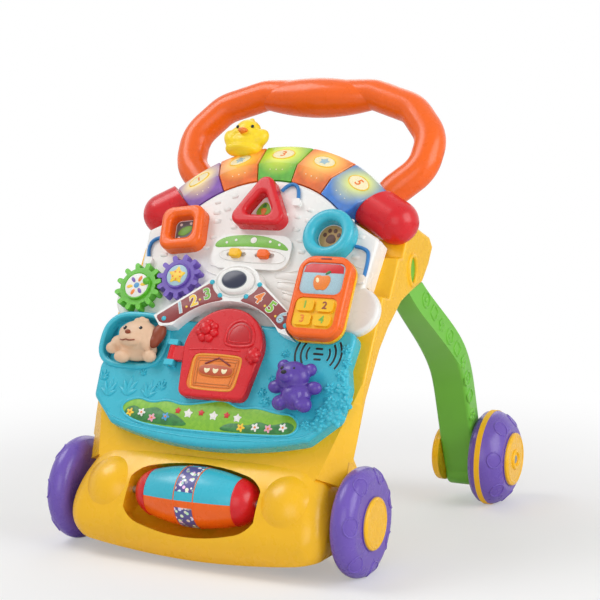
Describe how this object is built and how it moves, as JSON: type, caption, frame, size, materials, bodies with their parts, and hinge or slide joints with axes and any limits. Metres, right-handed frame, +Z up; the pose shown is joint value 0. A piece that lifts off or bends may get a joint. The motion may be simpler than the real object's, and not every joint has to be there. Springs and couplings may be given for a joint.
{
  "type": "baby walker",
  "caption": "Push-along baby walker: leaning activity panel with keys, gears, shape rings, phone and little door, on a wheeled frame with splayed rear legs and a loop handle.",
  "frame": {"origin": "on the floor, below the middle of the bounding box", "axes": "+Z up; the panel faces -Y and the child walks behind it towards -Y; +X is the right-hand side seen from the front"},
  "size_m": [0.398, 0.431, 0.4676],
  "materials": {
    "yellow": "gloss",
    "orange": "gloss",
    "red": "gloss",
    "purple": "gloss",
    "green": "gloss",
    "cyan": "gloss",
    "white": "gloss",
    "maroon": "gloss",
    "navy": "gloss",
    "beige": "satin",
    "brown": "satin",
    "lit_purple": "translucent gloss",
    "lit_orange": "translucent gloss",
    "lit_green": "translucent gloss",
    "lit_blue": "translucent gloss",
    "band": "matte",
    "steel": "brushed",
    "battery": "satin",
    "board": "matte",
    "speaker": "matte",
    "grey": "matte",
    "cord": "matte"
  },
  "bodies": {
    "frame": {"front_frame": "yellow", "base_plate": "yellow", "leg_left": "green", "leg_right": "green", "steel_pins": "steel", "axle_caps": "yellow", "handle": "orange", "cap_left": "red", "cap_right": "red", "tray": "cyan", "upper_panel": "white", "panel_back": "white", "battery_door": "white", "batteries": "battery", "circuit_board": "board", "speaker": "speaker", "screws": "steel", "roof_trim": "white", "key_bed": "grey", "square_tether": "cord", "triangle_tether": "cord", "circle_tether": "cord"},
    "front_wheel_left": {"front_wheel_left": "purple", "front_hub_left": "yellow"},
    "rear_wheel_left": {"rear_wheel_left": "purple", "rear_band_left": "band", "rear_hub_left": "yellow"},
    "leg_tab_left": {"leg_tab_left": "green"},
    "front_wheel_right": {"front_wheel_right": "purple", "front_hub_right": "yellow"},
    "rear_wheel_right": {"rear_wheel_right": "purple", "rear_band_right": "band", "rear_hub_right": "yellow"},
    "leg_tab_right": {"leg_tab_right": "green"},
    "roller": {"roller_upper": "cyan", "roller_lower": "orange", "roller_ends": "red"},
    "gear_green": {"gear_green": "green"},
    "gear_purple": {"gear_purple": "purple"},
    "door": {"door": "red", "door_pane": "lit_orange"},
    "puppy": {"puppy": "beige", "puppy_ear": "brown"},
    "bear": {"bear": "purple"},
    "attic_button": {"attic_button": "navy"},
    "power_switch": {"power_switch": "yellow"},
    "volume_switch": {"volume_switch": "orange"},
    "square_ring": {"square_ring": "orange"},
    "triangle_ring": {"triangle_ring": "red"},
    "circle_ring": {"circle_ring": "cyan"},
    "phone": {"phone_back": "yellow", "phone_front": "orange"},
    "phone_keypad": {"phone_keypad": "yellow"},
    "key_1": {"key_1": "lit_purple"},
    "key_2": {"key_2": "lit_orange", "chick": "yellow"},
    "key_3": {"key_3": "lit_green"},
    "key_4": {"key_4": "lit_orange"},
    "key_5": {"key_5": "lit_blue"}
  },
  "joints": [
    {"name": "front_wheel_left_spin", "type": "hinge", "parent": "frame", "child": "front_wheel_left", "pos_m": [-0.147, -0.153, 0.052], "axis": [1, 0, 0], "continuous": true},
    {"name": "rear_wheel_left_spin", "type": "hinge", "parent": "frame", "child": "rear_wheel_left", "pos_m": [-0.178, 0.163, 0.052], "axis": [1, 0, 0], "continuous": true},
    {"name": "leg_tab_left_press", "type": "slide", "parent": "frame", "child": "leg_tab_left", "axis": [1, 0, 0], "range_m": [0, 0.003], "stiffness_N_per_m": 500, "springref_m": -0.002},
    {"name": "front_wheel_right_spin", "type": "hinge", "parent": "frame", "child": "front_wheel_right", "pos_m": [0.147, -0.153, 0.052], "axis": [1, 0, 0], "continuous": true},
    {"name": "rear_wheel_right_spin", "type": "hinge", "parent": "frame", "child": "rear_wheel_right", "pos_m": [0.178, 0.163, 0.052], "axis": [1, 0, 0], "continuous": true},
    {"name": "leg_tab_right_press", "type": "slide", "parent": "frame", "child": "leg_tab_right", "axis": [-1, 0, 0], "range_m": [0, 0.003], "stiffness_N_per_m": 500, "springref_m": -0.002},
    {"name": "roller_spin", "type": "hinge", "parent": "frame", "child": "roller", "pos_m": [0, -0.187, 0.066], "axis": [1, 0, 0], "continuous": true},
    {"name": "gear_green_spin", "type": "hinge", "parent": "frame", "child": "gear_green", "pos_m": [-0.118, -0.1017, 0.25309], "axis": [0, -0.866, 0.5], "continuous": true},
    {"name": "gear_purple_spin", "type": "hinge", "parent": "frame", "child": "gear_purple", "pos_m": [-0.07401, -0.09498, 0.26474], "axis": [0, -0.866, 0.5], "continuous": true},
    {"name": "door_swing", "type": "hinge", "parent": "frame", "child": "door", "pos_m": [-0.054, -0.14128, 0.19454], "axis": [0, -0.5, -0.866], "range_deg": [0, 110]},
    {"name": "puppy_slide", "type": "slide", "parent": "frame", "child": "puppy", "axis": [-1, 0, 0], "range_m": [0, 0.007]},
    {"name": "bear_spin", "type": "hinge", "parent": "frame", "child": "bear", "pos_m": [0.088, -0.15553, 0.16985], "axis": [0, -0.866, 0.5], "continuous": true},
    {"name": "attic_button_press", "type": "slide", "parent": "frame", "child": "attic_button", "axis": [0, 0.866, -0.5], "range_m": [0, 0.0035], "stiffness_N_per_m": 500, "springref_m": -0.002},
    {"name": "power_switch_slide", "type": "slide", "parent": "frame", "child": "power_switch", "axis": [1, 0, 0], "range_m": [-0.005, 0.005]},
    {"name": "volume_switch_slide", "type": "slide", "parent": "frame", "child": "volume_switch", "axis": [1, 0, 0], "range_m": [-0.005, 0.005]},
    {"name": "square_ring_lift", "type": "slide", "parent": "frame", "child": "square_ring", "axis": [0, -0.866, 0.5], "range_m": [0, 0.025]},
    {"name": "triangle_ring_lift", "type": "slide", "parent": "frame", "child": "triangle_ring", "axis": [0, -0.866, 0.5], "range_m": [0, 0.025]},
    {"name": "circle_ring_lift", "type": "slide", "parent": "frame", "child": "circle_ring", "axis": [0, -0.866, 0.5], "range_m": [0, 0.025]},
    {"name": "phone_lift", "type": "slide", "parent": "frame", "child": "phone", "axis": [0, -0.866, 0.5], "range_m": [0, 0.04]},
    {"name": "phone_keypad_press", "type": "slide", "parent": "phone", "child": "phone_keypad", "axis": [0, 0.866, -0.5], "range_m": [0, 0.0015], "stiffness_N_per_m": 500, "springref_m": -0.002},
    {"name": "key_1_press", "type": "slide", "parent": "frame", "child": "key_1", "axis": [0, 0.866, -0.5], "range_m": [0, 0.0027], "stiffness_N_per_m": 500, "springref_m": -0.002},
    {"name": "key_2_press", "type": "slide", "parent": "frame", "child": "key_2", "axis": [0, 0.866, -0.5], "range_m": [0, 0.0027], "stiffness_N_per_m": 500, "springref_m": -0.002},
    {"name": "key_3_press", "type": "slide", "parent": "frame", "child": "key_3", "axis": [0, 0.866, -0.5], "range_m": [0, 0.0027], "stiffness_N_per_m": 500, "springref_m": -0.002},
    {"name": "key_4_press", "type": "slide", "parent": "frame", "child": "key_4", "axis": [0, 0.866, -0.5], "range_m": [0, 0.0027], "stiffness_N_per_m": 500, "springref_m": -0.002},
    {"name": "key_5_press", "type": "slide", "parent": "frame", "child": "key_5", "axis": [0, 0.866, -0.5], "range_m": [0, 0.0027], "stiffness_N_per_m": 500, "springref_m": -0.002}
  ],
  "couplings": [
    {"joint": "gear_purple_spin", "follows": "gear_green_spin", "ratio": -1.0909}
  ]
}
